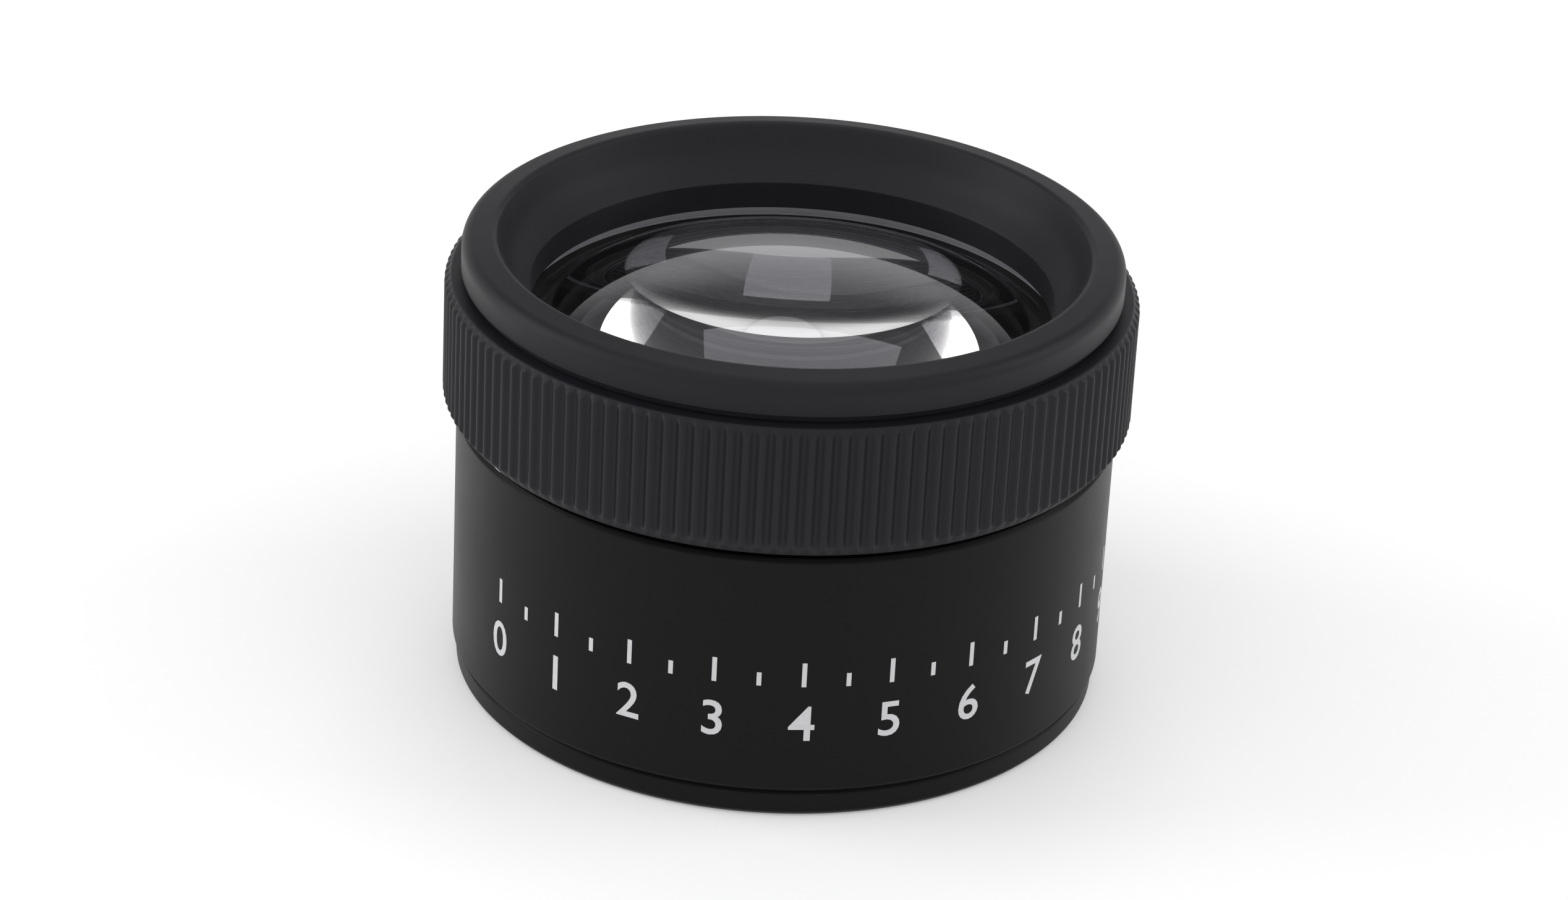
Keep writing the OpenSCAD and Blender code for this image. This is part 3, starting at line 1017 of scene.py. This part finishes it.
class LOUPE_OT_stage(bpy.types.Operator):
    """Stage: pale floor that curves up behind, a tall pale card, soft lamps, the room and the camera"""

    bl_idname = "loupe.stage"
    bl_label = "Stage"

    def execute(self, context):
        v = context.scene.loupe.view
        material = self.pale()
        for piece in (self.floor(), self.card()):
            piece.data.materials.append(material)
            piece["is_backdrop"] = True
        self.world(context, v.room_front, v.room_back)
        for name, place, size, power in LAMPS:
            self.lamp(name, place, size, getattr(v, power))
        self.camera(context, v)
        context.scene.view_settings.view_transform = "Standard"
        return {"FINISHED"}

    @staticmethod
    def floor():
        """Floor z = 0 that bends up by a quarter turn into a low wall, with painted shade that darkens the
        wall with height.
        """
        start, bend, high, half = 1.2, 0.15, 1.1, 2.0
        # painted shade: how much darker the wall's top is painted, the height where the darkening starts,
        # and the height over which it deepens
        painted_shade, level, run = 0.92, 0.5, 0.4
        quarter = np.linspace(0.0, math.pi / 2, 24)[1:-1]
        flat = np.linspace(-half, start, 12)
        rise = np.linspace(bend, high, 12)
        y = np.concatenate([flat, start + bend * np.sin(quarter), np.full(12, start + bend)])
        z = np.concatenate([np.zeros(12), bend - bend * np.cos(quarter), rise])
        x, y = np.meshgrid(np.linspace(-half, half, 12), y)
        z = np.broadcast_to(z[:, None], x.shape)
        floor = grid("floor", x, y, z)
        # the painted shade is stored as each point's light share, which the pale material reads
        store(floor.data, "light", 1.0 - painted_shade * smooth_step((z - level) / run))
        return floor

    @staticmethod
    def card():
        """Tall card with a round top, seen only as the lens's reflection, with painted shade that darkens it
        with height.

        Its top is high * (1 - |u|^p)^(1 / p), where u runs from -1 to 1 across it.
        """
        power, high, half, place, shift = 2.5, 0.83, 0.23, 1.3, -0.01
        # painted shade: how much darker the card's top is painted, the height where the darkening starts,
        # and the height over which it deepens
        painted_shade, level, run = 0.55, 0.4, 0.43
        u = np.sin(np.linspace(-math.pi / 2, math.pi / 2, 61))
        v, across = np.meshgrid(np.linspace(0.0, 1.0, 9), u, indexing="ij")
        z = v * high * (1.0 - np.abs(across) ** power) ** (1.0 / power)
        card = grid("card", half * across + shift, np.full(v.shape, place), z)
        store(card.data, "light", 1.0 - painted_shade * smooth_step((z - level) / run))
        return card

    @staticmethod
    def pale():
        """Matte white, paler where it is seen directly, mirrored or through glass than where it lights."""
        lighting, seen_as, glow = 0.6, 0.98, 0.2
        material, tree, shader, _ = start_material("Pale floor")
        shader.inputs["Roughness"].default_value = 0.9
        shader.inputs["Specular IOR Level"].default_value = 0.2
        shader.inputs["Emission Color"].default_value = (1.0, 1.0, 1.0, 1.0)
        path = node_of(tree, "ShaderNodeLightPath", (-1100, 0)).outputs
        seen = combine(tree, "ADD", (-850, 0), path["Is Camera Ray"], path["Is Glossy Ray"])
        seen = combine(tree, "ADD", (-600, 0), seen, path["Is Transmission Ray"])
        # painted shade: the stored light share darkens the colour and the glow of the wall's and card's
        # upper parts
        light = node_of(tree, "ShaderNodeAttribute", (-600, -400), attribute_name="light").outputs["Fac"]
        tone = mix(tree, seen, (-300, 0), (lighting,) * 3, (seen_as,) * 3)
        tone = mix(tree, light, (-120, 0), (0.0, 0.0, 0.0), tone)
        tree.links.new(tone, shader.inputs["Base Color"])
        share = combine(tree, "MULTIPLY", (-450, -220), seen, light)
        lift = combine(tree, "MULTIPLY", (-300, -220), share, glow)
        tree.links.new(lift, shader.inputs["Emission Strength"])
        return material

    @staticmethod
    def world(context, front, back):
        """Room that is lighter above the front: its light follows the direction's share of front and up."""
        front_up, dark_at, light_at = (0.0, -0.8, 0.6), -0.3, 0.7
        world = bpy.data.worlds.new("Room")
        context.scene.world = world
        world.use_nodes = True
        tree = world.node_tree
        background = tree.nodes["Background"]
        background.inputs["Color"].default_value = (1.0, 1.0, 1.0, 1.0)
        way = node_of(tree, "ShaderNodeTexCoord", (-900, 0))
        share = node_of(tree, "ShaderNodeVectorMath", (-600, 0), operation="DOT_PRODUCT")
        share.inputs[1].default_value = front_up
        tree.links.new(way.outputs["Generated"], share.inputs[0])
        level = remap(tree, share.outputs["Value"], (-300, 0), dark_at, light_at, back, front)
        tree.links.new(level, background.inputs["Strength"])

    @staticmethod
    def lamp(name, place, size, power):
        """Rectangular soft lamp at a place, facing the middle of the loupe."""
        aim = Vector((0, 0, 0.015))
        light = bpy.data.lights.new(name, "AREA")
        light.shape = "RECTANGLE"
        light.size, light.size_y = size
        light.energy = power
        lamp = bpy.data.objects.new(name, light)
        bpy.context.scene.collection.objects.link(lamp)
        place = Vector(place)
        lamp.location = place
        lamp.rotation_euler = (aim - place).to_track_quat("-Z", "Y").to_euler()

    @staticmethod
    def camera(context, v):
        """Camera on a sphere round the loupe's middle, rolled, with a lens that gives the asked fill."""
        low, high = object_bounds()
        middle = (low + high) / 2
        back = Vector(
            (
                math.sin(v.azimuth) * math.cos(v.elevation),
                -math.cos(v.azimuth) * math.cos(v.elevation),
                math.sin(v.elevation),
            )
        )
        data = bpy.data.cameras.new("Camera")
        data.sensor_width = 36.0
        tall = (high.z - low.z) * math.cos(v.elevation) + (high.x - low.x) * math.sin(v.elevation)
        data.lens = v.fill * v.distance / tall * data.sensor_width / WIDE
        data.clip_start, data.clip_end = 0.01, 10.0
        data.dof.use_dof = False
        camera = bpy.data.objects.new("Camera", data)
        context.scene.collection.objects.link(camera)
        turn = (-back).to_track_quat("-Z", "Y").to_matrix().to_4x4() @ Matrix.Rotation(v.roll, 4, "Z")
        camera.matrix_world = Matrix.Translation(middle + back * v.distance) @ turn
        context.scene.camera = camera


PIECES = (
    LOUPE_OT_barrel,
    LOUPE_OT_foot,
    LOUPE_OT_tube,
    LOUPE_OT_grip,
    LOUPE_OT_rim,
    LOUPE_OT_lenses,
    LOUPE_OT_spacer,
    LOUPE_OT_plain_nodes,
    LOUPE_OT_dial,
    LOUPE_OT_stage,
)


class LOUPE_PT_panel(bpy.types.Panel):
    """Lists the loupe's pieces and settings"""

    bl_idname = "LOUPE_PT_panel"
    bl_label = "Focusing loupe"
    bl_space_type = "VIEW_3D"
    bl_region_type = "UI"
    bl_category = "Loupe"

    def draw(self, context):
        for piece in PIECES:
            self.layout.operator(piece.bl_idname)
        settings = context.scene.loupe
        for group in ("finish", "thread", "grip", "rim", "dial", "view"):
            box = self.layout.box()
            box.label(text=group.capitalize())
            for key in getattr(settings, group).bl_rna.properties.keys():
                if key not in ("rna_type", "name"):
                    box.prop(getattr(settings, group), key)


CLASSES = (
    LoupeFinishSettings,
    LoupeThreadSettings,
    LoupeGripSettings,
    LoupeRimSettings,
    LoupeDialSettings,
    LoupeViewSettings,
    LoupeSettings,
    *PIECES,
    LOUPE_PT_panel,
)


def register():
    """Registers the classes and the settings."""
    for made in CLASSES:
        bpy.utils.register_class(made)
    bpy.types.Scene.loupe = bpy.props.PointerProperty(type=LoupeSettings)


def unregister():
    """Removes the settings and the classes."""
    del bpy.types.Scene.loupe
    for made in reversed(CLASSES):
        bpy.utils.unregister_class(made)


def main():
    """Makes every piece and the stage."""
    register()
    for piece in PIECES:
        group, name = piece.bl_idname.split(".")
        getattr(getattr(bpy.ops, group), name)()


if __name__ == "__main__":
    main()
